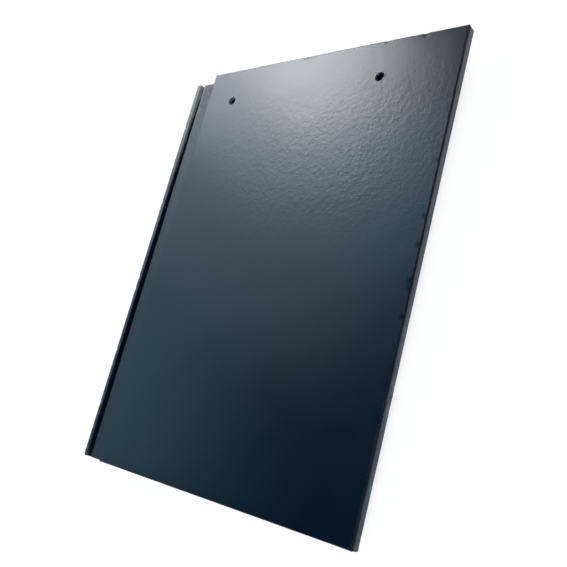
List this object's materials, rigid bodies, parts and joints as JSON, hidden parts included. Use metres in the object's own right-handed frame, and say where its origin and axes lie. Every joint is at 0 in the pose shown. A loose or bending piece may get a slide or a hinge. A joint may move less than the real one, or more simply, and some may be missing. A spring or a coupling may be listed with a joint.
{
  "type": "flat interlocking roof tile",
  "caption": "Flat interlocking concrete roof tile with a recessed underlock, a lipped overlock, nail holes, hanging nibs and weather bars.",
  "frame": {"origin": "middle of the bounding box's base, at the level of the hanging nibs' lowest faces", "axes": "+X across the roof from the underlock to the overlock, +Y up the roof from the tail to the head, +Z out of the weather face"},
  "size_m": [0.33, 0.42, 0.03],
  "materials": {
    "coated_concrete": "smooth slate-blue semi-gloss acrylic coating on extruded concrete"
  },
  "bodies": {
    "root": {"tile": "coated_concrete"}
  },
  "joints": []
}
